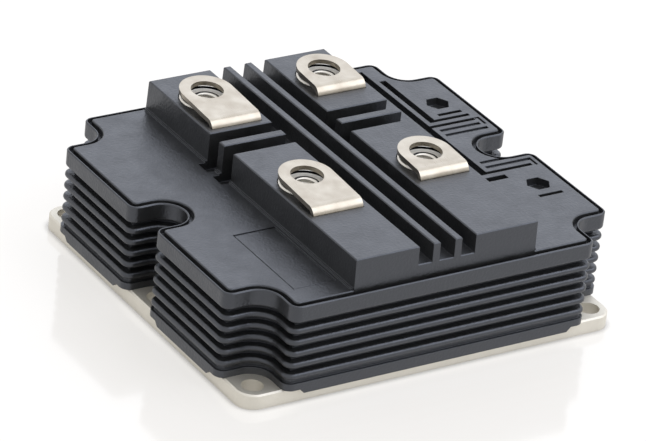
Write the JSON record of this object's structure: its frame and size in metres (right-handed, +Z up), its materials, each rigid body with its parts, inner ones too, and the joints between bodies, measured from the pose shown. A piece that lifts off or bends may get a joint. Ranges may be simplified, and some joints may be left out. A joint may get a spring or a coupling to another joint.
{
  "type": "power diode module",
  "caption": "Dual power diode module: metal base plate with fixing holes, ribbed black case, lid with raised blocks and folded screw terminals.",
  "frame": {"origin": "middle of the base plate's underside", "axes": "+X along the 140 mm side from the anode row to the cathode row, +Y along the 130 mm side to the back, +Z up out of the plate"},
  "size_m": [0.14, 0.1294, 0.0486],
  "materials": {
    "plate_metal": "satin nickel-plated composite",
    "black_plastic": "fine moulded matt",
    "nickel_plated_copper": "satin nickel plating on copper",
    "nut_steel": "plated steel",
    "copper": "bare copper",
    "substrate_ceramic": "fired ceramic",
    "silicon": "metallised silicon",
    "bond_aluminium": "drawn ribbon"
  },
  "bodies": {
    "root": {"base_plate": "plate_metal", "case_frame": "black_plastic", "lid": "black_plastic", "anode_terminal_1": "nickel_plated_copper", "anode_terminal_2": "nickel_plated_copper", "cathode_terminal_1": "nickel_plated_copper", "cathode_terminal_2": "nickel_plated_copper", "nut_1": "nut_steel", "nut_2": "nut_steel", "nut_3": "nut_steel", "nut_4": "nut_steel", "back_copper_1": "copper", "back_copper_2": "copper", "substrate_1": "substrate_ceramic", "substrate_2": "substrate_ceramic", "anode_pad_1": "copper", "anode_pad_2": "copper", "cathode_pad_1": "copper", "cathode_pad_2": "copper", "chip_1": "silicon", "chip_2": "silicon", "chip_3": "silicon", "chip_4": "silicon", "chip_5": "silicon", "chip_6": "silicon", "chip_7": "silicon", "chip_8": "silicon", "bond_ribbon_1": "bond_aluminium", "bond_ribbon_2": "bond_aluminium", "bond_ribbon_3": "bond_aluminium", "bond_ribbon_4": "bond_aluminium", "bond_ribbon_5": "bond_aluminium", "bond_ribbon_6": "bond_aluminium", "bond_ribbon_7": "bond_aluminium", "bond_ribbon_8": "bond_aluminium"}
  },
  "joints": []
}
